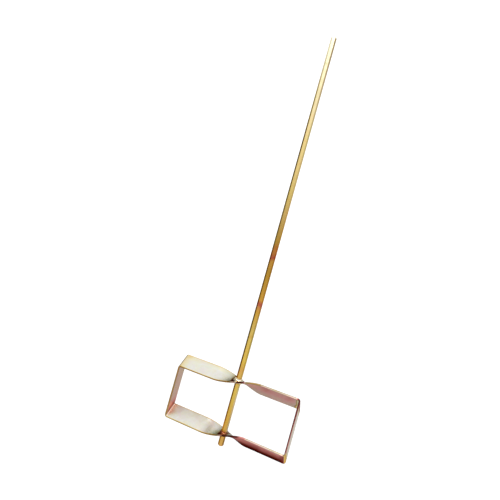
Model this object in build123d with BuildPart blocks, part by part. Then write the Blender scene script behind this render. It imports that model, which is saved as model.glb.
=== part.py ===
from build123d import *
from math import cos, radians, sin
import os

# Mortar mixing paddle: a hexagonal steel bar that an electric drill turns, with two flat-bar
# loops welded to its lower end. The arms of each loop twist where they meet the shaft, so the
# two loops are pitched in opposite ways, like the blades of a propeller.
#
# Millimetres. The origin is the centre of the shank's end face, which goes into the drill
# chuck. +Z points up the shaft towards the drill and +X towards the right loop. The loops
# stand in the XZ plane and the shaft hangs down to z = -overall_length.

inch = 25.4

# Driving dimensions
overall_length = 31 * inch
shaft_across_flats = 3 / 8 * inch
shaft_turn = 15.0              # turn of the hexagon about its axis, in degrees
shaft_corner_radius = 0.5
shank_chamfer = 1.0
tip_chamfer = 1.9

paddle_width = 9.5 * inch      # over both loops
bar_width = 1.25 * inch
bar_thickness = 1 / 8 * inch
arm_pitch = 42.0               # slope of every arm across its width, in degrees
upper_twist_length = 47.0      # from the shaft's axis to the end of an arm's twist
lower_twist_length = 43.0
bend_inner_radius = 2.0
lower_crossing_height = 22.5   # above the shaft's lower tip
crossing_spacing = 99.0
notch_diameter = 7 / 16 * inch
twist_sections = 9

upper_top_leg = 4.8            # size of the fillet welds round the shaft
lower_top_leg = 2.6
under_leg = 3.2
weld_root = 1.5                # how far a weld's metal reaches into the notches
seam_half_width = 2.0          # groove between the two loops' ends
seam_depth = 2.2
seam_crown = 0.7

# Worked out from them
tip = -overall_length
lower_crossing = tip + lower_crossing_height
upper_crossing = lower_crossing + crossing_spacing
outer_x = (paddle_width - bar_thickness) / 2
bend_radius = bend_inner_radius + bar_thickness / 2
across_bar = Vector(0, cos(radians(arm_pitch)), sin(radians(arm_pitch)))
shaft_radius = shaft_across_flats / 2
corner_radius = shaft_radius / cos(radians(30))
notch_radius = notch_diameter / 2
crossings = {"upper": upper_crossing, "lower": lower_crossing}
twist_lengths = {"upper": upper_twist_length, "lower": lower_twist_length}
top_legs = {"upper": upper_top_leg, "lower": lower_top_leg}

os.makedirs("parts", exist_ok=True)


def bar_section(crossing, twist_length, part_way):
    """Plane of the left loop's bar section, part_way (0 to 1) along the twist of one arm."""
    pitch = radians(arm_pitch) * (5 * part_way - part_way**5) / 4
    origin = (-twist_length * part_way, 0, crossing)
    return Plane(origin=origin, x_dir=(0, cos(pitch), sin(pitch)), z_dir=(1, 0, 0))


# The shaft: cold-drawn hexagonal bar, turned to a chamfer at both ends
with BuildPart() as hex_shaft:
    with BuildSketch(Plane.XY.offset(tip)):
        RegularPolygon(shaft_radius, 6, major_radius=False, rotation=shaft_turn)
    extrude(amount=overall_length)
    fillet(hex_shaft.edges().filter_by(Axis.Z), shaft_corner_radius)
    with BuildSketch(Plane.XZ):
        with BuildLine():
            Polyline(
                (0, tip),
                (corner_radius - tip_chamfer, tip),
                (corner_radius, tip + tip_chamfer),
                (corner_radius, -shank_chamfer),
                (corner_radius - shank_chamfer, 0),
                (0, 0),
                close=True,
            )
        make_face()
    revolve(axis=Axis.Z, mode=Mode.INTERSECT)
hex_shaft.part.label = "hex_shaft"


# Space for the seam welds: a V groove across each crossing, on its upper side
with BuildPart() as seam_grooves:
    for crossing in crossings.values():
        surface = crossing + bar_thickness / 2
        with BuildSketch(Plane.XZ):
            with BuildLine():
                Polyline(
                    (-seam_half_width, surface + seam_crown),
                    (-seam_half_width, surface),
                    (0, surface - seam_depth),
                    (seam_half_width, surface),
                    (seam_half_width, surface + seam_crown),
                    close=True,
                )
            make_face()
    extrude(amount=bar_width, both=True)


# The left loop: one flat bar with two bends. Its mid-surface is the centreline carried across
# the bar, so the outer upright stays parallel to the shaft while both arms keep their pitch.
with BuildPart() as left_loop:
    with BuildLine(Plane.XZ) as centreline:
        FilletPolyline(
            (-upper_twist_length, upper_crossing),
            (-outer_x, upper_crossing),
            (-outer_x, lower_crossing),
            (-lower_twist_length, lower_crossing),
            radius=bend_radius,
        )
    for edge in centreline.edges():
        front_edge = edge.moved(Location(across_bar * (-bar_width / 2)))
        mid_surface = Face.extrude(front_edge, across_bar * bar_width)
        thicken(mid_surface, bar_thickness / 2, both=True)
    for level, crossing in crossings.items():
        for station in range(twist_sections):
            part_way = station / (twist_sections - 1)
            with BuildSketch(bar_section(crossing, twist_lengths[level], part_way)):
                Rectangle(bar_width, bar_thickness)
        loft()
    with BuildSketch(Plane.XY):
        Circle(notch_radius)
    extrude(amount=tip, mode=Mode.SUBTRACT)
    add(seam_grooves.part, mode=Mode.SUBTRACT)
left_loop.part.label = "left_loop"

# The right loop is the same piece turned half a turn about the shaft
with BuildPart() as right_loop:
    add(left_loop.part.rotate(Axis.Z, 180))
right_loop.part.label = "right_loop"


def seam_weld(name, crossing):
    """Butt weld in the groove between the loops' ends, in front of and behind the shaft."""
    surface = crossing + bar_thickness / 2
    with BuildPart() as weld:
        with BuildSketch(Plane.XZ):
            with BuildLine():
                ThreePointArc(
                    (-seam_half_width, surface),
                    (0, surface + seam_crown),
                    (seam_half_width, surface),
                )
                Polyline(
                    (seam_half_width, surface),
                    (0, surface - seam_depth),
                    (-seam_half_width, surface),
                )
            make_face()
        extrude(amount=bar_width / 2, both=True)
        with BuildSketch(Plane.XY.offset(crossing)):
            Circle(notch_radius)
        extrude(amount=bar_width, both=True, mode=Mode.SUBTRACT)
        add(left_loop.part, mode=Mode.SUBTRACT)
        add(right_loop.part, mode=Mode.SUBTRACT)
    weld.part.label = name
    return weld


def fillet_weld(name, crossing, side, leg, neighbours):
    """Weld bead round the shaft on one side of a crossing; side is 1 above and -1 below."""
    surface = crossing + side * bar_thickness / 2
    foot = surface - side * weld_root
    head = surface + side * leg
    outer = shaft_radius + leg + 0.8
    with BuildPart() as weld:
        with BuildSketch(Plane.XZ):
            with BuildLine():
                Polyline(
                    (shaft_radius, head),
                    (shaft_radius / 2, head),
                    (shaft_radius / 2, foot),
                    (outer, foot),
                    (outer, surface + side * 0.2),
                )
                ThreePointArc(
                    (outer, surface + side * 0.2),
                    (shaft_radius + 0.62 * leg, surface + side * 0.66 * leg),
                    (shaft_radius, head),
                )
            make_face()
        revolve(axis=Axis.Z)
        for neighbour in neighbours:
            add(neighbour.part, mode=Mode.SUBTRACT)
    weld.part.label = name
    return weld


pieces = [hex_shaft, left_loop, right_loop]
for level, crossing in crossings.items():
    seam = seam_weld(level + "_seam_weld", crossing)
    neighbours = [hex_shaft, left_loop, right_loop, seam]
    top = fillet_weld(level + "_weld_top", crossing, 1, top_legs[level], neighbours)
    under = fillet_weld(level + "_weld_under", crossing, -1, under_leg, neighbours)
    pieces += [seam, top, under]

for piece in pieces:
    export_step(piece.part, "parts/" + piece.part.label + ".step")
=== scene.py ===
import bmesh
import bpy
from math import atan2, cos, degrees, exp, hypot, pi, radians, sin, tan
from mathutils import Matrix, Vector, noise


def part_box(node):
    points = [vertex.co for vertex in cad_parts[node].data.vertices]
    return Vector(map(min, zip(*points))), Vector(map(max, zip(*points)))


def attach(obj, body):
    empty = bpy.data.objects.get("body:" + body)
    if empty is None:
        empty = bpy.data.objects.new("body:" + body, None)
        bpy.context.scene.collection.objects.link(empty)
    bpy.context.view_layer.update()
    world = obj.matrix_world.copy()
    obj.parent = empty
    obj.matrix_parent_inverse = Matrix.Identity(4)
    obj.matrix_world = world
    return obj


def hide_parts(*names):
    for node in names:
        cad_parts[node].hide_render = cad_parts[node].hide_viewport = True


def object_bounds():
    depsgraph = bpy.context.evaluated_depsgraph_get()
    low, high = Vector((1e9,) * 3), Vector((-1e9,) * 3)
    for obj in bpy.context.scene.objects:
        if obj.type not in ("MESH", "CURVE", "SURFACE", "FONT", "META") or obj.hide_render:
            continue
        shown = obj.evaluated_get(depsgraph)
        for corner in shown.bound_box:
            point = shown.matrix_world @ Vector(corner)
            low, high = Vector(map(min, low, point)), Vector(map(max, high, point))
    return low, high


# The looks of a welded mortar mixing paddle: a hexagonal shaft and two flat-bar loops, all with
# a glossy yellow chromate plate. Everything is in metres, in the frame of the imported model.

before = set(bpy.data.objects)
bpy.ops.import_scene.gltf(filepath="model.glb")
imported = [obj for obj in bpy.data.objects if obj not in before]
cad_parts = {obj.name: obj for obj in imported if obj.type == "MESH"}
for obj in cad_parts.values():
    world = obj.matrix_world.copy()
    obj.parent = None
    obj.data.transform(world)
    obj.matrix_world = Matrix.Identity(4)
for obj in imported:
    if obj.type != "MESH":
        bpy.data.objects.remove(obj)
cad_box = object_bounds()
lowest, highest = cad_box

MM = 0.001

# Dimensions of the object, as in its CAD model
ACROSS_FLATS = 9.525 * MM
SHAFT_TURN = radians(15.0)
BAR_WIDTH = 31.75 * MM
BAR_THICKNESS = 3.175 * MM
ARM_PITCH = radians(42.0)
UPPER_TWIST = 47.0 * MM
LOWER_TWIST = 43.0 * MM
BEND_RADIUS = 2.0 * MM + BAR_THICKNESS / 2
NOTCH_RADIUS = 5.556 * MM
SEAM_HALF_WIDTH = 2.0 * MM
SEAM_DEPTH = 2.2 * MM
SEAM_CROWN = 0.7 * MM
WELD_ROOT = 1.5 * MM
RIPPLE_PITCH = 1.25 * MM
SEAM_RIPPLE_PITCH = 1.3 * MM
EDGE_ROUNDING = 0.6 * MM
WELD_LEGS = {"upper_weld_top": 4.8 * MM, "lower_weld_top": 2.6 * MM,
             "upper_weld_under": 3.2 * MM, "lower_weld_under": 3.2 * MM}

ACROSS_BAR = Vector((0.0, cos(ARM_PITCH), sin(ARM_PITCH)))
ARM_RISE = BAR_WIDTH / 2 * sin(ARM_PITCH) + BAR_THICKNESS / 2 * cos(ARM_PITCH)
loop_low, loop_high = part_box("left_loop")
OUTER_X = -loop_low.x - BAR_THICKNESS / 2
CROSSINGS = {"upper": loop_high.z - ARM_RISE, "lower": loop_low.z + ARM_RISE}
TWISTS = {"upper": UPPER_TWIST, "lower": LOWER_TWIST}
OUTWARD = {"upper": 1, "lower": -1}

# Stations along each section of a loop's bar
NECK_STEPS, ARM_STEPS, BEND_STEPS, OUTER_STEPS = 40, 24, 14, 36

# Rolled bar is never quite flat: its broad faces wander inwards by up to this much, following
# noise of this scale per metre
DEEPEST_SINK, WANDERING = 0.09 * MM, 45.0

# The mill edges' film reaches this far onto the broad faces and blends in over this much of it
EDGE_FILM_REACH, EDGE_FILM_BLEND = 1.4 * MM, 1.1 * MM


# ---------------------------------------------------------------- mesh helpers

def new_object(name, vertices, faces):
    mesh = bpy.data.meshes.new(name)
    mesh.from_pydata([tuple(v) for v in vertices], [], faces)
    mesh.update()
    obj = bpy.data.objects.new(name, mesh)
    bpy.context.scene.collection.objects.link(obj)
    return obj


def shade_smooth(obj, sharp_angle):
    obj.data.shade_smooth()
    obj.data.set_sharp_from_angle(angle=radians(sharp_angle))


def store_attribute(obj, name, values):
    attribute = obj.data.attributes.new(name, "FLOAT", "POINT")
    attribute.data.foreach_set("value", values)


def skin_rings(rings, closed_path=False):
    """Faces that join rings of vertices in order, with flat caps on an open path."""
    count, size = len(rings), len(rings[0])
    faces = []
    for i in range(count if closed_path else count - 1):
        here, there = i * size, (i + 1) % count * size
        for j in range(size):
            k = (j + 1) % size
            faces.append((here + j, here + k, there + k, there + j))
    if not closed_path:
        faces.append(tuple(reversed(range(size))))
        faces.append(tuple(range((count - 1) * size, count * size)))
    return faces


def circle(radius, z, segments):
    angles = (2 * pi * i / segments for i in range(segments))
    return [Vector((radius * cos(angle), radius * sin(angle), z)) for angle in angles]


def smooth_step(x):
    x = min(max(x, 0.0), 1.0)
    return x * x * (3 - 2 * x)


def between(table, x):
    for (x0, y0), (x1, y1) in zip(table, table[1:]):
        if x <= x1:
            return y0 + (y1 - y0) * max(x - x0, 0.0) / (x1 - x0)
    return table[-1][1]


# ---------------------------------------------------------------- the loops

def pitch_at(part_way):
    """Pitch of the left loop's bar, part_way (0 at the shaft, 1 at the arm) along a twist."""
    return ARM_PITCH * (5 * part_way - part_way**5) / 4


# Each station is the centre of the bar, its width's direction and the outside face's normal, all
# for the left loop.

def neck_station(level, part_way):
    pitch = pitch_at(part_way)
    centre = Vector((-TWISTS[level] * part_way, 0.0, CROSSINGS[level]))
    across = Vector((0.0, cos(pitch), sin(pitch)))
    return centre, across, Vector((0.0, -sin(pitch), cos(pitch))) * OUTWARD[level]


def arm_station(level, part_way):
    x = TWISTS[level] + (OUTER_X - BEND_RADIUS - TWISTS[level]) * part_way
    normal = Vector((0.0, -sin(ARM_PITCH), cos(ARM_PITCH))) * OUTWARD[level]
    return Vector((-x, 0.0, CROSSINGS[level])), ACROSS_BAR, normal


def bend_station(level, angle):
    """The angle runs from 90 to 180 degrees in the upper bend and on to 270 in the lower one."""
    middle_z = CROSSINGS[level] - OUTWARD[level] * BEND_RADIUS
    middle = Vector((-(OUTER_X - BEND_RADIUS), 0.0, middle_z))
    centre = middle + Vector((cos(angle), 0.0, sin(angle))) * BEND_RADIUS
    normal = Vector((
        cos(angle) * cos(ARM_PITCH),
        -sin(angle) * sin(ARM_PITCH),
        sin(angle) * cos(ARM_PITCH),
    )).normalized()
    return centre, ACROSS_BAR, normal


def outer_station(part):
    upright = CROSSINGS["upper"] - CROSSINGS["lower"] - 2 * BEND_RADIUS
    z = CROSSINGS["upper"] - BEND_RADIUS - upright * part
    return Vector((-OUTER_X, 0.0, z)), ACROSS_BAR, Vector((-1.0, 0.0, 0.0))


def loop_stations():
    """Every (section, part of the way along it, station), from the upper crossing to the lower."""
    quarter = pi / 2
    sections = (
        ("upper_neck", NECK_STEPS, lambda part: neck_station("upper", part)),
        ("upper_arm", ARM_STEPS, lambda part: arm_station("upper", part)),
        ("upper_bend", BEND_STEPS, lambda part: bend_station("upper", quarter * (1 + part))),
        ("outer", OUTER_STEPS, outer_station),
        ("lower_bend", BEND_STEPS, lambda part: bend_station("lower", quarter * (2 + part))),
        ("lower_arm", ARM_STEPS, lambda part: arm_station("lower", 1 - part)),
        ("lower_neck", NECK_STEPS, lambda part: neck_station("lower", 1 - part)),
    )
    stations = [(section, i / steps, station(i / steps))
                for section, steps, station in sections for i in range(steps)]
    return stations + [("lower_neck", 1.0, neck_station("lower", 0.0))]


# How thick the chromate film is, from 0 to 1, by section of each loop: on the inside face, on the
# outside face, and on the mill edges nearest to the object's front and to its rear. The colour of
# each thickness is in FILM_STOPS. These values are partly the plating's own colour and partly
# painted shade: the dark mauve to maroon undersides of the arms and necks, and the dark maroon
# edges of the right loop, are partly painted shade and painted reflection.
FILM = {
    "left": {
        "upper_neck": (0.66, 0.12, 0.40, 0.35), "upper_arm": (0.66, 0.11, 0.40, 0.35),
        "upper_bend": (0.62, 0.25, 0.40, 0.32), "outer": (0.58, 0.03, 0.40, 0.52),
        "lower_bend": (0.60, 0.33, 0.36, 0.40), "lower_arm": (0.13, 0.86, 0.355, 0.36),
        "lower_neck": (0.13, 0.86, 0.37, 0.36),
    },
    "right": {
        "upper_neck": (0.66, 0.13, 0.43, 0.40), "upper_arm": (0.66, 0.11, 0.50, 0.47),
        "upper_bend": (0.17, 0.80, 0.90, 0.40), "outer": (0.58, 0.08, 0.92, 0.50),
        "lower_bend": (0.72, 0.30, 0.30, 0.85), "lower_arm": (0.14, 0.84, 0.53, 0.97),
        "lower_neck": (0.14, 0.84, 0.76, 0.97),
    },
}
# Films for painted shade: maroon and dark red on the right loop's lower underside, near black
# beside the beads
MAROON, DARK_RED, SHADE_FACE_FILM, SHADE_EDGE_FILM = 0.86, 0.95, 0.98, 0.97

# Film across the underside of the right loop's lower arm, from the rear (-1) to the front (1): at
# the shaft and at the corner. Its dark maroon, near black at the rear edge, is partly painted
# shade.
UNDERSIDE_FILM_AND_SHADE = (
    ((-1.0, 0.98), (-0.6, 0.95), (-0.3, 0.87), (-0.1, 0.81), (0.1, 0.77), (0.3, 0.755),
     (0.5, 0.75), (0.7, 0.745), (0.9, 0.735), (1.0, 0.72)),
    ((-1.0, 0.99), (-0.6, 0.955), (-0.35, 0.91), (-0.15, 0.85), (0.05, 0.82), (0.25, 0.79),
     (0.45, 0.76), (0.65, 0.72), (0.85, 0.68), (1.0, 0.62)),
)

# How far past the beads each edge gets painted shade, by side and level of the loop
EDGE_SHADE_REACH = {("left", "upper"): 4.0 * MM, ("left", "lower"): 4.0 * MM,
                   ("right", "upper"): 11.0 * MM, ("right", "lower"): 28.0 * MM}
EDGE_SHADE_STRENGTH = {"left": 0.4, "right": 0.95}
FACE_SHADE_REACH = {"upper": 3.0 * MM, "lower": 1.8 * MM}

# Below, part runs from 0 to 1 along a section, on the way from the upper crossing to the lower
# one, and across runs from -1 at the rear edge to 1 at the front one.


def way_out(section, part):
    """How far a place is from the shaft, along a section that leads away from it or back."""
    return part if section.startswith("upper") else 1 - part


def left_face_film(section, part, across, outside):
    film = FILM["left"][section][1 if outside else 0]
    if section == "outer" and not outside:
        # pinker towards the lower corner
        film += 0.10 * smooth_step((part - 0.4) / 0.6) + 0.07 * smooth_step((part - 0.75) / 0.25)
    elif section in ("upper_arm", "upper_neck") and outside:
        # yellower at the rear and at the corner
        film += 0.07 * smooth_step((-across - 0.1) / 0.9)
        if section == "upper_arm":
            film += 0.12 * smooth_step((part - 0.7) / 0.3)
    elif section == "lower_arm" and not outside:
        # a little yellower at the corner
        film += 0.05 * smooth_step((0.25 - part) / 0.25)
    return film


def underside_film_and_shade(across, towards_corner):
    at_shaft, at_corner = (between(profile, across) for profile in UNDERSIDE_FILM_AND_SHADE)
    return at_shaft + (at_corner - at_shaft) * smooth_step(towards_corner)


def right_face_film(section, part, across, outside):
    film = FILM["right"][section][1 if outside else 0]
    outwards = way_out(section, part)
    if section == "lower_arm" and outside:
        # dark at the corner, partly painted shade
        film = underside_film_and_shade(across, 0.35 + 0.65 * outwards)
        film += (MAROON - film) * 0.6 * smooth_step((0.09 - part) / 0.05)
    elif section == "lower_neck" and outside:
        # darker still at the shaft: painted shade
        film = underside_film_and_shade(across, 0.35 * outwards)
        film += (DARK_RED - film) * smooth_step((0.70 - outwards) / 0.35)
    elif section == "upper_arm" and not outside:
        # greyer at the rear, redder part of the way out, yellow next to the corner
        film -= 0.08 * smooth_step((0.3 - across) / 0.9)
        film += 0.05 * exp(-((part - 0.30) / 0.28) ** 2) - 0.02 * smooth_step((part - 0.8) / 0.2)
        thinned = 0.05 + 0.38 * smooth_step((-across - 0.2) / 0.4)
        film -= smooth_step((part - 0.92) / 0.06) * thinned
    elif section == "upper_neck" and not outside:
        # greyer at the rear and at the shaft
        film -= 0.08 * smooth_step((0.3 - across) / 0.9)
        film -= 0.08 * smooth_step((0.6 - outwards) / 0.3)
    elif section == "outer" and outside:
        # dark at the upper corner, straw yellow at the lower one
        film += 0.85 * exp(-(part / 0.08) ** 2) + 0.13 * smooth_step((part - 0.86) / 0.08)
    elif section == "lower_bend" and outside:
        # gold, and then dark where it meets the arm
        film += 0.55 * smooth_step((part - 0.58) / 0.1)
    return film


def edge_film(side, section, part, across, depth, face):
    """Film on a mill edge; depth is 0.5 at the outside face and -0.5 at the inside one, and face
    is the film on the broad face beside it."""
    near_edge, far_edge = FILM[side][section][2:]
    if across <= 0:
        return far_edge
    film = near_edge
    if side == "right" and section == "lower_bend":
        film += 0.55 * smooth_step((0.1 - depth) * 3) + 0.10 * smooth_step((part - 0.5) / 0.3)
    elif side == "right" and section == "outer":
        lower_down = 0.3 + 0.7 * smooth_step((part - 0.2) / 0.4)
        film -= 0.26 * smooth_step((depth + 0.02) * 3) * lower_down
    elif side == "right" and section.endswith("arm"):
        towards_underside = depth if section == "lower_arm" else -depth
        film += (face - film) * 0.5 * smooth_step((towards_underside + 0.15) / 0.4)
    return film


def crossing_shade(side, level, outwards, across, outside):
    """Painted shade beside the beads, where the bars meet the shaft: the strengths of the dark
    painted shade on the face and on the edge, and of the grey painted shade."""
    reach = outwards * TWISTS[level] - ACROSS_FLATS / 2 - WELD_LEGS[level + "_weld_top"]
    on_top = outside == (level == "upper")
    if not on_top:
        strength = 0.6
    elif side == "right" and level == "lower":
        strength = 0.5
    else:
        strength = 0.9
    on_face = strength * smooth_step((FACE_SHADE_REACH[level] - reach) / (2.5 * MM))
    on_edge = smooth_step((EDGE_SHADE_REACH[side, level] - reach) / (8.0 * MM))
    bead_shade = 0.0
    # a grey patch of painted shade on the left loop's faces next to the bead
    if on_top and side == "left":
        shade_length = (5.5 + 8.0 * smooth_step(across + 0.3)) * MM
        bead_shade = exp(-(max(reach, 0.0) / shade_length) ** 2)
    return on_face, on_edge * EDGE_SHADE_STRENGTH[side], bead_shade


def film_at(side, section, part, across, outward):
    """Film on the face and on the edge at a point of the bar's outline, and the grey painted shade.
    """
    outside = outward > 0
    face_film = left_face_film if side == "left" else right_face_film
    face = face_film(section, part, across, outside)
    edge = edge_film(side, section, part, across, outward / BAR_THICKNESS, face)
    if not section.endswith("neck"):
        return face, edge, 0.0
    level = section.split("_")[0]
    on_face, on_edge, bead_shade = crossing_shade(side, level, way_out(section, part), across, outside)
    # darkens the face and the edge next to the beads: painted shade
    face += (SHADE_FACE_FILM - face) * on_face
    edge += (SHADE_EDGE_FILM - edge) * on_edge
    return face, edge, bead_shade


def bar_outline():
    """Points (across, out) round the bar's section, with rounded mill edges."""
    half_width = BAR_WIDTH / 2 - EDGE_ROUNDING
    half_thickness = BAR_THICKNESS / 2 - EDGE_ROUNDING
    turn_steps, straight_steps = 5, (20, 3, 20, 3)
    corners = []
    for a_sign, b_sign, start in ((1, 1, 0), (-1, 1, 90), (-1, -1, 180), (1, -1, 270)):
        angles = [radians(start + 90 * i / turn_steps) for i in range(turn_steps + 1)]
        corners.append([(a_sign * half_width + EDGE_ROUNDING * cos(angle),
                         b_sign * half_thickness + EDGE_ROUNDING * sin(angle)) for angle in angles])
    points = []
    for corner, following, steps in zip(corners, corners[1:] + corners[:1], straight_steps):
        (a0, b0), (a1, b1) = corner[-1], following[0]
        points += corner
        points += [(a0 + (a1 - a0) * i / steps, b0 + (b1 - b0) * i / steps)
                   for i in range(1, steps)]
    return points


def make_bar(side):
    """The left loop's bar, coated like the loop on the given side, and still uncut."""
    outline = bar_outline()
    vertices, films, bead_shades = [], [], []
    distance, last = 0.0, None
    stations = loop_stations()
    for section, part, (centre, across, normal) in stations:
        if last is not None:
            distance += (centre - last).length
        last = centre
        for a, b in outline:
            seed = 3.1 if b > 0 else 7.7
            wander = noise.noise(Vector((distance * WANDERING, a * WANDERING, seed)))
            sink = (0.5 + 0.5 * wander) * DEEPEST_SINK
            b_moved = b - sink if b > 0 else b + sink
            vertices.append(centre + across * a + normal * b_moved)
            towards_front = a / (BAR_WIDTH / 2) * (-1 if side == "left" else 1)
            face, edge, bead_shade = film_at(side, section, part, towards_front, b)
            onto_edge = abs(a) - (BAR_WIDTH / 2 - EDGE_FILM_REACH)
            at_edge = smooth_step(onto_edge / EDGE_FILM_BLEND)
            films.append(face + (edge - face) * at_edge)
            bead_shades.append(bead_shade)
    loop = new_object(side + "_loop_bar", vertices, skin_rings([outline] * len(stations)))
    store_attribute(loop, "film", films)
    # the grey painted shade beside the beads
    store_attribute(loop, "bead_side_shade", bead_shades)
    return loop


def cut_loop_ends(loop):
    """Cuts the round notches and the welding grooves into the ends of the bar."""
    low, high = CROSSINGS["lower"] - BAR_WIDTH, CROSSINGS["upper"] + BAR_WIDTH
    rings = [circle(NOTCH_RADIUS, z, segments=96) for z in (low, high)]
    cutters = [new_object("notch_cutter", rings[0] + rings[1], skin_rings(rings))]
    for level, crossing in CROSSINGS.items():
        surface = crossing + BAR_THICKNESS / 2
        above = surface + SEAM_CROWN
        profile = ((-SEAM_HALF_WIDTH, above), (-SEAM_HALF_WIDTH, surface),
                   (0.0, surface - SEAM_DEPTH),
                   (SEAM_HALF_WIDTH, surface), (SEAM_HALF_WIDTH, above))
        rings = [[Vector((x, y, z)) for x, z in profile] for y in (BAR_WIDTH, -BAR_WIDTH)]
        groove = new_object(level + "_groove_cutter", rings[0] + rings[1], skin_rings(rings))
        cutters.append(groove)
    for cutter in cutters:
        face_outwards(cutter)
        modifier = loop.modifiers.new("cut", "BOOLEAN")
        modifier.operation = "DIFFERENCE"
        modifier.solver = "EXACT"
        modifier.object = cutter
    bpy.context.view_layer.update()
    depsgraph = bpy.context.evaluated_depsgraph_get()
    cut = bpy.data.meshes.new_from_object(loop.evaluated_get(depsgraph))
    loop.modifiers.clear()
    loop.data = cut
    for cutter in cutters:
        bpy.data.objects.remove(cutter)


def face_outwards(obj):
    repair = bmesh.new()
    repair.from_mesh(obj.data)
    bmesh.ops.recalc_face_normals(repair, faces=repair.faces)
    repair.to_mesh(obj.data)
    repair.free()


def make_loops():
    loops = []
    for side in ("left", "right"):
        loop = make_bar(side)
        face_outwards(loop)
        cut_loop_ends(loop)
        shade_smooth(loop, sharp_angle=35)
        if side == "right":
            loop.data.transform(Matrix.Rotation(pi, 4, "Z"))
        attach(loop, "root")
        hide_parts(side + "_loop")
        loops.append(loop)
    return loops


# ---------------------------------------------------------------- the welds

def hexagon_radius(angle):
    """Distance from the axis to the hexagon's surface in a direction."""
    sector = pi / 3
    from_flat = (angle - SHAFT_TURN - sector / 2) % sector
    from_flat = from_flat - sector if from_flat > sector / 2 else from_flat
    return ACROSS_FLATS / 2 / cos(from_flat)


def bar_surface(level, side, x, y):
    """Height of the twisted bar's upper (side 1) or lower (side -1) face at x, y."""
    reach = min(abs(x) / TWISTS[level], 1.0)
    pitch = pitch_at(reach) * (1 if x < 0 else -1)
    return CROSSINGS[level] + y * tan(pitch) + side * BAR_THICKNESS / 2 / cos(pitch)


def make_ring_weld(node):
    """A hand-laid fillet bead round the shaft, with overlapping ripples."""
    level = node.split("_")[0]
    side = 1 if node.endswith("top") else -1
    leg = WELD_LEGS[node]
    steps, bulge_steps = 288, 12
    ripple_count = round(pi * (ACROSS_FLATS + leg) / RIPPLE_PITCH)
    seed = 11.0 * side + (3.0 if level == "upper" else 8.0)
    root = CROSSINGS[level] + side * (BAR_THICKNESS / 2 - WELD_ROOT)
    rings = []
    for i in range(steps):
        angle = 2 * pi * i / steps
        direction = Vector((cos(angle), sin(angle), 0.0))
        inner = hexagon_radius(angle)
        uneven = noise.noise(Vector((cos(angle) * 1.6, sin(angle) * 1.6, seed)))
        size = leg * (0.90 + 0.10 * uneven)
        outer = ACROSS_FLATS / 2 + size + 0.6 * MM
        head = CROSSINGS[level] + side * (BAR_THICKNESS / 2 + size)
        toe = bar_surface(level, side, direction.x * outer, direction.y * outer)
        ring = []
        for j in range(bulge_steps + 1):
            part = j / bulge_steps
            radius = inner + (outer - inner) * part
            straight = head + (toe - head) * part
            lean = 1.21 * (part - 0.5)
            ripple = abs(sin(ripple_count * angle / 2 + lean))
            bulging = 0.16 * leg * sin(pi * part)
            if 0 < j < bulge_steps:
                bulging += 0.10 * leg * sin(pi * part) ** 0.7 * (ripple - 0.6)
            ring.append(direction * radius + Vector((0, 0, straight + side * bulging)))
        for part in (0.66, 0.33):
            radius = NOTCH_RADIUS + (outer - NOTCH_RADIUS) * part
            height = bar_surface(level, side, direction.x * radius, direction.y * radius)
            ring.append(direction * radius + Vector((0, 0, height)))
        notch_top = bar_surface(level, side, direction.x * NOTCH_RADIUS, direction.y * NOTCH_RADIUS)
        ring.append(direction * NOTCH_RADIUS + Vector((0, 0, notch_top)))
        ring.append(direction * NOTCH_RADIUS + Vector((0, 0, root)))
        ring.append(direction * inner + Vector((0, 0, root)))
        rings.append(ring)
    vertices = [v for ring in rings for v in ring]
    return new_object(node + "_bead", vertices, skin_rings(rings, closed_path=True))


def make_seam_weld(node):
    """Butt weld beads in the grooves in front of and behind the shaft."""
    level = node.split("_")[0]
    surface = CROSSINGS[level] + BAR_THICKNESS / 2
    start, length = NOTCH_RADIUS, BAR_WIDTH / 2 - 0.25 * MM - NOTCH_RADIUS
    steps, crown_steps = 60, 10
    vertices, faces = [], []
    for front in (-1, 1):
        rings = []
        for i in range(steps + 1):
            y = front * (start + length * i / steps)
            at_end = smooth_step((steps - i) / 5)
            uneven = noise.noise(Vector((y * 300, 2.0, surface * 9)))
            half_width = SEAM_HALF_WIDTH * (0.97 + 0.03 * uneven)
            ring = []
            for j in range(crown_steps + 1):
                across = -1 + 2 * j / crown_steps
                lag = 0.45 * across * across
                ripple = abs(sin(pi * (i / steps * length / SEAM_RIPPLE_PITCH + lag)))
                crown = SEAM_CROWN * (1 - across * across)
                height = crown * (0.55 + 0.40 * ripple) * (0.35 + 0.65 * at_end)
                ring.append(Vector((across * half_width, y, surface + height)))
            ring.append(Vector((0.0, y, surface - SEAM_DEPTH)))
            rings.append(ring)
        base = len(vertices)
        vertices += [v for ring in rings for v in ring]
        faces += [tuple(base + k for k in face) for face in skin_rings(rings)]
    return new_object(node + "_bead", vertices, faces)


def make_welds():
    welds = []
    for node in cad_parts:
        if "weld" not in node:
            continue
        weld = make_seam_weld(node) if "seam" in node else make_ring_weld(node)
        face_outwards(weld)
        shade_smooth(weld, sharp_angle=50)
        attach(weld, "root")
        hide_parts(node)
        welds.append(weld)
    return welds


# ---------------------------------------------------------------- materials

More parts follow.
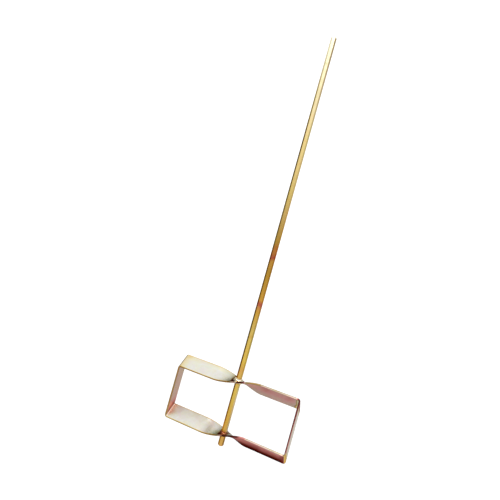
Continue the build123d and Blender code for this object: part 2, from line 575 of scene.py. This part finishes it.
class Nodes:
    """A thin wrapper that keeps node trees short to write."""

    def __init__(self, tree):
        self.tree = tree
        tree.nodes.clear()

    def add(self, kind, **settings):
        node = self.tree.nodes.new(kind)
        for key, value in settings.items():
            setattr(node, key, value)
        return node

    def link(self, source, target):
        self.tree.links.new(source, target)

    def feed(self, socket, value):
        if isinstance(value, bpy.types.NodeSocket):
            self.link(value, socket)
        else:
            socket.default_value = value

    def math(self, operation, first, second=0.0, clamp=False):
        node = self.add("ShaderNodeMath", operation=operation, use_clamp=clamp)
        self.feed(node.inputs[0], first)
        self.feed(node.inputs[1], second)
        return node.outputs[0]

    def mix(self, factor, first, second, blend="MIX"):
        node = self.add("ShaderNodeMix", data_type="RGBA", blend_type=blend)
        self.feed(node.inputs[0], factor)
        self.feed(node.inputs[6], first)
        self.feed(node.inputs[7], second)
        return node.outputs[2]

    def place(self):
        return self.add("ShaderNodeTexCoord").outputs["Object"]

    def height(self, place):
        node = self.add("ShaderNodeSeparateXYZ")
        self.link(place, node.inputs[0])
        return node.outputs["Z"]

    def attribute(self, name):
        return self.add("ShaderNodeAttribute", attribute_name=name).outputs["Fac"]

    def offset(self, field, reach):
        """Turns a field from 0 to 1 into an offset from -reach / 2 to reach / 2."""
        return self.math("MULTIPLY", self.math("SUBTRACT", field, 0.5), reach)

    def noise(self, vector, scale, detail=3.0, roughness=0.5, distortion=0.0):
        node = self.add("ShaderNodeTexNoise")
        self.link(vector, node.inputs["Vector"])
        node.inputs["Scale"].default_value = scale
        node.inputs["Detail"].default_value = detail
        node.inputs["Roughness"].default_value = roughness
        node.inputs["Distortion"].default_value = distortion
        return node.outputs["Fac"]

    def stretch(self, vector, scale):
        node = self.add("ShaderNodeMapping")
        self.link(vector, node.inputs["Vector"])
        node.inputs["Scale"].default_value = scale
        return node.outputs[0]

    def ramp(self, value, stops):
        node = self.add("ShaderNodeValToRGB")
        self.link(value, node.inputs[0])
        ramp = node.color_ramp
        while len(ramp.elements) < len(stops):
            ramp.elements.new(0.5)
        for element, (position, colour) in zip(ramp.elements, stops):
            element.position = position
            element.color = (*colour, 1.0)
        return node.outputs["Color"]

    def span(self, value, low, high, to_low=0.0, to_high=1.0):
        node = self.add("ShaderNodeMapRange")
        self.link(value, node.inputs["Value"])
        node.inputs["From Min"].default_value = low
        node.inputs["From Max"].default_value = high
        node.inputs["To Min"].default_value = to_low
        node.inputs["To Max"].default_value = to_high
        return node.outputs["Result"]


# Colours of a chromate film on bright zinc, from thin to thick; the darkest, near-black stops serve
# as painted shade
FILM_STOPS = (
    (0.00, (0.80, 0.60, 0.50)),
    (0.06, (0.86, 0.80, 0.74)),
    (0.12, (0.87, 0.88, 0.83)),
    (0.18, (0.88, 0.83, 0.64)),
    (0.25, (0.87, 0.70, 0.38)),
    (0.31, (0.84, 0.56, 0.15)),
    (0.35, (0.62, 0.50, 0.17)),
    (0.40, (0.50, 0.26, 0.08)),
    (0.46, (0.40, 0.31, 0.14)),
    (0.52, (0.42, 0.35, 0.22)),
    (0.58, (0.71, 0.55, 0.46)),
    (0.66, (0.79, 0.44, 0.42)),
    (0.73, (0.70, 0.28, 0.25)),
    (0.79, (0.50, 0.18, 0.17)),
    (0.84, (0.35, 0.11, 0.10)),
    (0.90, (0.20, 0.04, 0.03)),
    (0.96, (0.09, 0.018, 0.010)),
    (1.00, (0.04, 0.014, 0.008)),
)

# What the grey painted shade beside the beads multiplies the colour by where it is strongest
BEAD_SHADE_TINT = (0.40, 0.41, 0.25, 1.0)

# Faint shifts of colour that drift over the loops' faces
SHEEN_STOPS = (
    (0.30, (0.80, 0.92, 0.90)), (0.42, (0.96, 0.92, 0.74)), (0.52, (0.93, 0.93, 0.90)),
    (0.62, (0.96, 0.85, 0.88)), (0.74, (0.84, 0.93, 0.72)),
)


def new_material(name):
    material = bpy.data.materials.new(name)
    material.use_nodes = True
    nodes = Nodes(material.node_tree)
    shader = nodes.add("ShaderNodeBsdfPrincipled")
    shader.inputs["Metallic"].default_value = 1.0
    output = nodes.add("ShaderNodeOutputMaterial")
    nodes.link(shader.outputs[0], output.inputs[0])
    return material, nodes, shader


def colour_metal(nodes, shader, colour, edge_white=0.32):
    """The film absorbs at every angle, so it colours grazing reflections as well."""
    nodes.link(colour, shader.inputs["Base Color"])
    nodes.link(nodes.mix(edge_white, colour, (1.0, 1.0, 1.0, 1.0)), shader.inputs["Specular Tint"])


def bump(nodes, shader, layers):
    """Stacks bumps, each a (height, distance, strength)."""
    normal = None
    for height, distance, strength in layers:
        node = nodes.add("ShaderNodeBump")
        node.inputs["Strength"].default_value = strength
        node.inputs["Distance"].default_value = distance
        nodes.link(height, node.inputs["Height"])
        if normal is not None:
            nodes.link(normal, node.inputs["Normal"])
        normal = node.outputs[0]
    nodes.link(normal, shader.inputs["Normal"])


def loop_material():
    material, nodes, shader = new_material("loop_plating")
    place = nodes.place()
    clouds = nodes.noise(place, 26.0, 3.0, 0.55, 0.8)
    mottle = nodes.noise(place, 110.0, 4.0, 0.6, 0.4)
    shift = nodes.math("ADD", nodes.offset(clouds, 0.16), nodes.offset(mottle, 0.05))
    thickness = nodes.math("ADD", nodes.attribute("film"), shift, clamp=True)
    base = nodes.ramp(thickness, FILM_STOPS)
    drift = nodes.noise(nodes.stretch(place, (1.0, 1.0, 1.7)), 42.0, 2.0, 0.5, 1.2)
    base = nodes.mix(0.55, base, nodes.ramp(drift, SHEEN_STOPS), "MULTIPLY")
    # grey painted shade beside the beads, broken into blotches
    blotches = nodes.span(nodes.noise(place, 260.0, 3.0, 0.6, 0.6), 0.34, 0.60, 0.25, 1.0)
    bead_shade = nodes.math("MULTIPLY", nodes.attribute("bead_side_shade"), blotches)
    base = nodes.mix(bead_shade, base, nodes.mix(1.0, base, BEAD_SHADE_TINT, "MULTIPLY"))
    colour_metal(nodes, shader, base)
    smear = nodes.noise(place, 75.0, 3.0, 0.6)
    nodes.link(nodes.span(smear, 0.3, 0.7, 0.27, 0.40), shader.inputs["Roughness"])
    grain = nodes.noise(place, 900.0, 3.0, 0.6)
    dents = nodes.noise(place, 160.0, 2.0, 0.5)
    bump(nodes, shader, ((dents, 0.4 * MM, 0.25), (grain, 0.04 * MM, 0.30)))
    return material


TIP = lowest.z

# Colour of the shaft's plating by height: pale at the shank, gold further down, with two narrow red
# patches. The pale towards the shank is a painted highlight; the gold and the red patches are the
# plating's own colour.
SHAFT_STOPS = (
    (TIP, (0.76, 0.44, 0.12)), (-0.7400, (0.74, 0.44, 0.08)), (-0.6870, (0.78, 0.55, 0.11)),
    (-0.6470, (0.78, 0.46, 0.12)), (-0.6270, (0.82, 0.55, 0.10)), (-0.5670, (0.78, 0.56, 0.15)),
    (-0.5370, (0.78, 0.44, 0.07)), (-0.5240, (0.76, 0.32, 0.10)), (-0.5170, (0.64, 0.13, 0.09)),
    (-0.5100, (0.84, 0.44, 0.07)), (-0.4670, (0.70, 0.40, 0.06)), (-0.4370, (0.80, 0.42, 0.08)),
    (-0.4310, (0.60, 0.12, 0.07)), (-0.4240, (0.72, 0.28, 0.07)), (-0.4120, (0.68, 0.27, 0.06)),
    (-0.4020, (0.66, 0.38, 0.07)), (-0.3870, (0.68, 0.42, 0.10)),
    (-0.3470, (0.78, 0.53, 0.17)), (-0.3070, (0.80, 0.60, 0.19)), (-0.2670, (0.83, 0.62, 0.24)),
    (-0.2070, (0.87, 0.68, 0.29)), (-0.1470, (0.90, 0.75, 0.42)), (-0.0870, (0.91, 0.80, 0.49)),
    (-0.0370, (0.91, 0.82, 0.56)), (0.0, (0.91, 0.82, 0.58)),
)

# Faint blotches on the shaft
BLOTCH_STOPS = (
    (0.30, (0.82, 0.88, 0.70)), (0.45, (1.0, 1.0, 1.0)),
    (0.58, (0.98, 0.94, 0.90)), (0.72, (0.98, 0.72, 0.62)),
)

# Painted light and shade on two of the flats, each lit differently: the bearings of two flats, and
# what each multiplies that colour by, by height. The first is brownish at the shank and silvery
# between the crossings.
FLAT_LIGHT_AND_SHADE = (
    (SHAFT_TURN - radians(30.0), (
        (TIP, (0.97, 0.92, 1.0)), (-0.7640, (0.92, 0.92, 1.0)), (-0.7580, (1.30, 1.70, 4.2)),
        (-0.7000, (1.25, 1.45, 4.2)), (-0.6800, (1.0, 1.25, 2.8)), (-0.6550, (1.0, 1.05, 1.1)),
        (-0.5900, (0.85, 0.92, 1.0)), (-0.5300, (1.1, 1.1, 1.2)), (-0.4300, (1.1, 1.0, 0.9)),
        (-0.4050, (1.4, 1.35, 1.3)), (-0.3200, (1.20, 1.20, 1.5)), (-0.2000, (0.95, 1.0, 1.05)),
        (-0.0900, (1.0, 0.90, 0.85)), (0.0, (0.95, 0.80, 0.62)),
    )),
    (SHAFT_TURN - radians(150.0), (
        (TIP, (1.3, 1.2, 0.7)), (-0.7600, (1.3, 1.15, 0.4)), (-0.7400, (1.1, 0.88, 0.2)),
        (-0.7250, (1.25, 1.0, 0.14)), (-0.6800, (1.1, 0.9, 0.2)), (-0.6500, (0.65, 0.45, 0.12)),
        (-0.6250, (1.08, 0.76, 0.18)), (-0.6000, (1.1, 0.97, 0.22)), (-0.5600, (0.9, 0.88, 0.3)),
        (-0.5300, (1.2, 1.25, 0.9)), (-0.5050, (1.45, 1.35, 1.0)), (-0.4300, (1.3, 1.4, 1.4)),
        (-0.4050, (1.5, 2.0, 2.2)), (-0.3700, (1.3, 1.3, 1.1)), (-0.3000, (1.15, 1.15, 0.9)),
        (-0.2200, (0.79, 0.71, 0.48)), (-0.1870, (0.76, 0.63, 0.44)),
        (-0.1500, (0.84, 0.78, 0.36)), (-0.0900, (0.80, 0.76, 0.70)),
        (-0.0300, (1.0, 1.05, 1.1)), (0.0, (1.05, 1.1, 1.2)),
    )),
)


def by_height(stops):
    """Ramp stops along the shaft, from 0 at its tip to 1 at its shank."""
    return [(1 - z / TIP, colour) for z, colour in stops]


def shaft_material():
    material, nodes, shader = new_material("shaft_plating")
    place = nodes.place()
    clouds = nodes.noise(nodes.stretch(place, (1.0, 1.0, 0.45)), 55.0, 3.0, 0.6, 0.5)
    height = nodes.math("ADD", nodes.height(place), nodes.offset(clouds, 0.024))
    level = nodes.span(height, TIP, 0.0)
    gold = nodes.ramp(level, by_height(SHAFT_STOPS))
    blotch = nodes.noise(place, 180.0, 3.0, 0.6, 0.6)
    gold = nodes.mix(0.6, gold, nodes.ramp(blotch, BLOTCH_STOPS), "MULTIPLY")
    facing = nodes.add("ShaderNodeTexCoord").outputs["Normal"]
    # painted light and shade on two flats, picked out by the way they face
    for bearing, stops in FLAT_LIGHT_AND_SHADE:
        squareness = nodes.add("ShaderNodeVectorMath", operation="DOT_PRODUCT")
        nodes.link(facing, squareness.inputs[0])
        squareness.inputs[1].default_value = (cos(bearing), sin(bearing), 0.0)
        on_flat = nodes.span(squareness.outputs["Value"], 0.80, 0.95)
        changed = nodes.mix(1.0, gold, nodes.ramp(level, by_height(stops)), "MULTIPLY")
        gold = nodes.mix(on_flat, gold, changed)
    colour_metal(nodes, shader, gold, edge_white=0.05)
    smear = nodes.noise(place, 90.0, 3.0, 0.6)
    nodes.link(nodes.span(smear, 0.3, 0.7, 0.20, 0.30), shader.inputs["Roughness"])
    draw_lines = nodes.noise(nodes.stretch(place, (1.0, 1.0, 0.03)), 1400.0, 2.0, 0.6)
    dents = nodes.noise(place, 200.0, 2.0, 0.5)
    bump(nodes, shader, ((dents, 0.3 * MM, 0.2), (draw_lines, 0.03 * MM, 0.5)))
    return material


# Colours of the beads: pale gold at the upper crossing, partly a painted highlight, and dark
# red-brown at the lower one
UPPER_BEAD_STOPS = (
    (0.30, (0.60, 0.46, 0.22)), (0.45, (0.82, 0.72, 0.50)),
    (0.60, (0.88, 0.82, 0.66)), (0.74, (0.50, 0.30, 0.15)),
)
LOWER_BEAD_STOPS = (
    (0.30, (0.15, 0.06, 0.03)), (0.45, (0.32, 0.10, 0.05)),
    (0.58, (0.38, 0.15, 0.07)), (0.72, (0.22, 0.06, 0.04)),
)


def weld_material():
    material, nodes, shader = new_material("weld_metal")
    place = nodes.place()
    clouds = nodes.noise(place, 260.0, 3.0, 0.6, 0.5)
    middle = (CROSSINGS["upper"] + CROSSINGS["lower"]) / 2
    above = nodes.span(nodes.height(place), middle - 1 * MM, middle + 1 * MM)
    upper, lower = nodes.ramp(clouds, UPPER_BEAD_STOPS), nodes.ramp(clouds, LOWER_BEAD_STOPS)
    colour_metal(nodes, shader, nodes.mix(above, lower, upper))
    nodes.link(nodes.span(clouds, 0.3, 0.7, 0.18, 0.34), shader.inputs["Roughness"])
    grain = nodes.noise(place, 1500.0, 3.0, 0.6)
    bump(nodes, shader, ((grain, 0.04 * MM, 0.4),))
    return material


def give_material(obj, material):
    obj.data.materials.clear()
    obj.data.materials.append(material)


# ---------------------------------------------------------------- camera, stage and light

# A close wide-angle view from the front right, from below the middle of the shaft, almost level
# and rolled
CAMERA_PLACE = Vector((0.2211, -0.6994, -0.4904))
CAMERA_AZIMUTH, CAMERA_ELEVATION, CAMERA_ROLL = radians(20.85), radians(-1.30), radians(15.66)
CAMERA_LENS, CAMERA_SENSOR, CAMERA_SHIFT = 28.45, 36.0, (0.0114, 0.0492)


def make_camera():
    back = Vector((sin(CAMERA_AZIMUTH) * cos(CAMERA_ELEVATION),
                   -cos(CAMERA_AZIMUTH) * cos(CAMERA_ELEVATION),
                   sin(CAMERA_ELEVATION)))
    upright = (-back).to_track_quat("-Z", "Y").to_matrix().to_4x4()
    roll = Matrix.Rotation(CAMERA_ROLL, 4, "Z")
    data = bpy.data.cameras.new("camera")
    data.sensor_width = CAMERA_SENSOR
    data.lens = CAMERA_LENS
    data.shift_x, data.shift_y = CAMERA_SHIFT
    data.clip_start = 0.01
    camera = bpy.data.objects.new("camera", data)
    bpy.context.scene.collection.objects.link(camera)
    camera.matrix_world = Matrix.Translation(CAMERA_PLACE) @ upright @ roll
    bpy.context.scene.camera = camera


FLOOR_RADIUS, FLOOR_GAP = 12.0, 0.30


def make_floor():
    """A wide pale floor, well below the tip."""
    rim = circle(FLOOR_RADIUS, lowest.z - FLOOR_GAP, segments=96)
    floor = new_object("floor", rim, [tuple(range(len(rim)))])
    floor.visible_glossy = False
    material = bpy.data.materials.new("floor_paint")
    material.use_nodes = True
    paint = material.node_tree.nodes["Principled BSDF"]
    paint.inputs["Base Color"].default_value = (0.94, 0.94, 0.94, 1.0)
    paint.inputs["Roughness"].default_value = 0.9
    give_material(floor, material)


# Brightness of the studio that the metal mirrors. Each bearing (degrees anticlockwise from +X)
# has its own column of (elevation, brightness).
TENT = (
    (42, ((-90, 0.66), (-60, 0.70), (-48, 1.00), (-38, 0.64), (-26, 0.25), (-22, 0.35), (-17, 0.85),
          (-12, 0.62), (-6, 0.48), (0, 0.36), (8, 0.40), (18, 0.68), (28, 0.66), (34, 0.32),
          (60, 0.80), (90, 0.92))),
    (82, ((-90, 0.66), (-62, 0.70), (-48, 1.15), (-36, 0.90), (-17, 0.82), (0, 0.50), (30, 0.45),
          (60, 0.85), (90, 0.92))),
    (110, ((-90, 0.66), (-45, 0.60), (-17, 0.45), (0, 0.26), (32, 0.34), (50, 0.68), (62, 0.88),
           (90, 0.92))),
    (162, ((-90, 0.66), (-30, 0.36), (-21, 0.22), (-17, 0.13), (-12, 0.06), (-4, 0.09), (6, 0.12),
           (15, 0.12), (20, 0.09), (25, 0.15), (29, 0.36), (33, 0.95), (60, 0.94), (90, 0.92))),
    (283, ((-90, 0.66), (-50, 0.70), (-22, 0.86), (-16, 0.92), (-11, 1.06), (-6, 0.94), (-1, 0.53),
           (4, 0.46), (8, 0.42), (11, 0.62), (14, 0.88), (17, 1.05), (21, 1.12), (26, 1.04),
           (30, 0.93), (34, 0.86), (60, 0.92), (90, 0.92))),
)
TENT_RADIUS = 6.0
KEY_DIRECTION = Vector((0.10, -0.55, 0.83)).normalized()
KEY_DISTANCE, KEY_SIZE, KEY_POWER = 2.0, 0.40, 10.0
SURROUNDINGS_STRENGTH = 1.25


def tent_brightness(direction):
    elevation = degrees(atan2(direction.z, hypot(direction.x, direction.y)))
    bearing = degrees(atan2(direction.y, direction.x)) % 360
    columns = [(b, between(column, elevation)) for b, column in TENT]
    before = (columns[-1][0] - 360, columns[-1][1])
    after = (columns[0][0] + 360, columns[0][1])
    return between([before, *columns, after], bearing)


def make_tent():
    """A big tent round the object, seen only as reflections in the metal."""
    around, rows = 120, 72
    rings, brightness = [], []
    for i in range(1, rows):
        polar = pi * i / rows
        directions = circle(sin(polar), cos(polar), around)
        brightness += [tent_brightness(direction) for direction in directions]
        rings.append([direction * TENT_RADIUS for direction in directions])
    tent = new_object("tent", [v for ring in rings for v in ring], skin_rings(rings))
    tent.location = Vector((0.0, 0.0, (lowest.z + highest.z) / 2))
    store_attribute(tent, "brightness", brightness)
    material = bpy.data.materials.new("tent")
    material.use_nodes = True
    nodes = Nodes(material.node_tree)
    emission = nodes.add("ShaderNodeEmission")
    nodes.link(nodes.attribute("brightness"), emission.inputs["Strength"])
    output = nodes.add("ShaderNodeOutputMaterial")
    nodes.link(emission.outputs[0], output.inputs[0])
    material.cycles.emission_sampling = "NONE"
    give_material(tent, material)
    tent.visible_camera = False
    tent.visible_diffuse = False
    tent.visible_transmission = False
    tent.visible_volume_scatter = False
    tent.visible_shadow = False


def make_key_light():
    """A small soft box that glints on the weld beads and the rounded mill edges."""
    data = bpy.data.lights.new("key_light", "AREA")
    data.size = KEY_SIZE
    data.energy = KEY_POWER
    light = bpy.data.objects.new("key_light", data)
    bpy.context.scene.collection.objects.link(light)
    light.location = (lowest + highest) / 2 + KEY_DIRECTION * KEY_DISTANCE
    light.rotation_euler = KEY_DIRECTION.to_track_quat("Z", "Y").to_euler()
    light.visible_diffuse = False
    light.visible_camera = False


def make_lights():
    make_tent()
    make_key_light()
    world = bpy.data.worlds.new("studio")
    world.use_nodes = True
    background = world.node_tree.nodes["Background"]
    background.inputs["Color"].default_value = (1.0, 1.0, 1.0, 1.0)
    background.inputs["Strength"].default_value = SURROUNDINGS_STRENGTH
    bpy.context.scene.world = world
    bpy.context.scene.view_settings.view_transform = "Standard"


# ---------------------------------------------------------------- the scene

make_camera()
loops = make_loops()
welds = make_welds()
plating = loop_material()
for loop in loops:
    give_material(loop, plating)
weld_plating = weld_material()
for weld in welds:
    give_material(weld, weld_plating)
give_material(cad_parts["hex_shaft"], shaft_material())
make_floor()
make_lights()
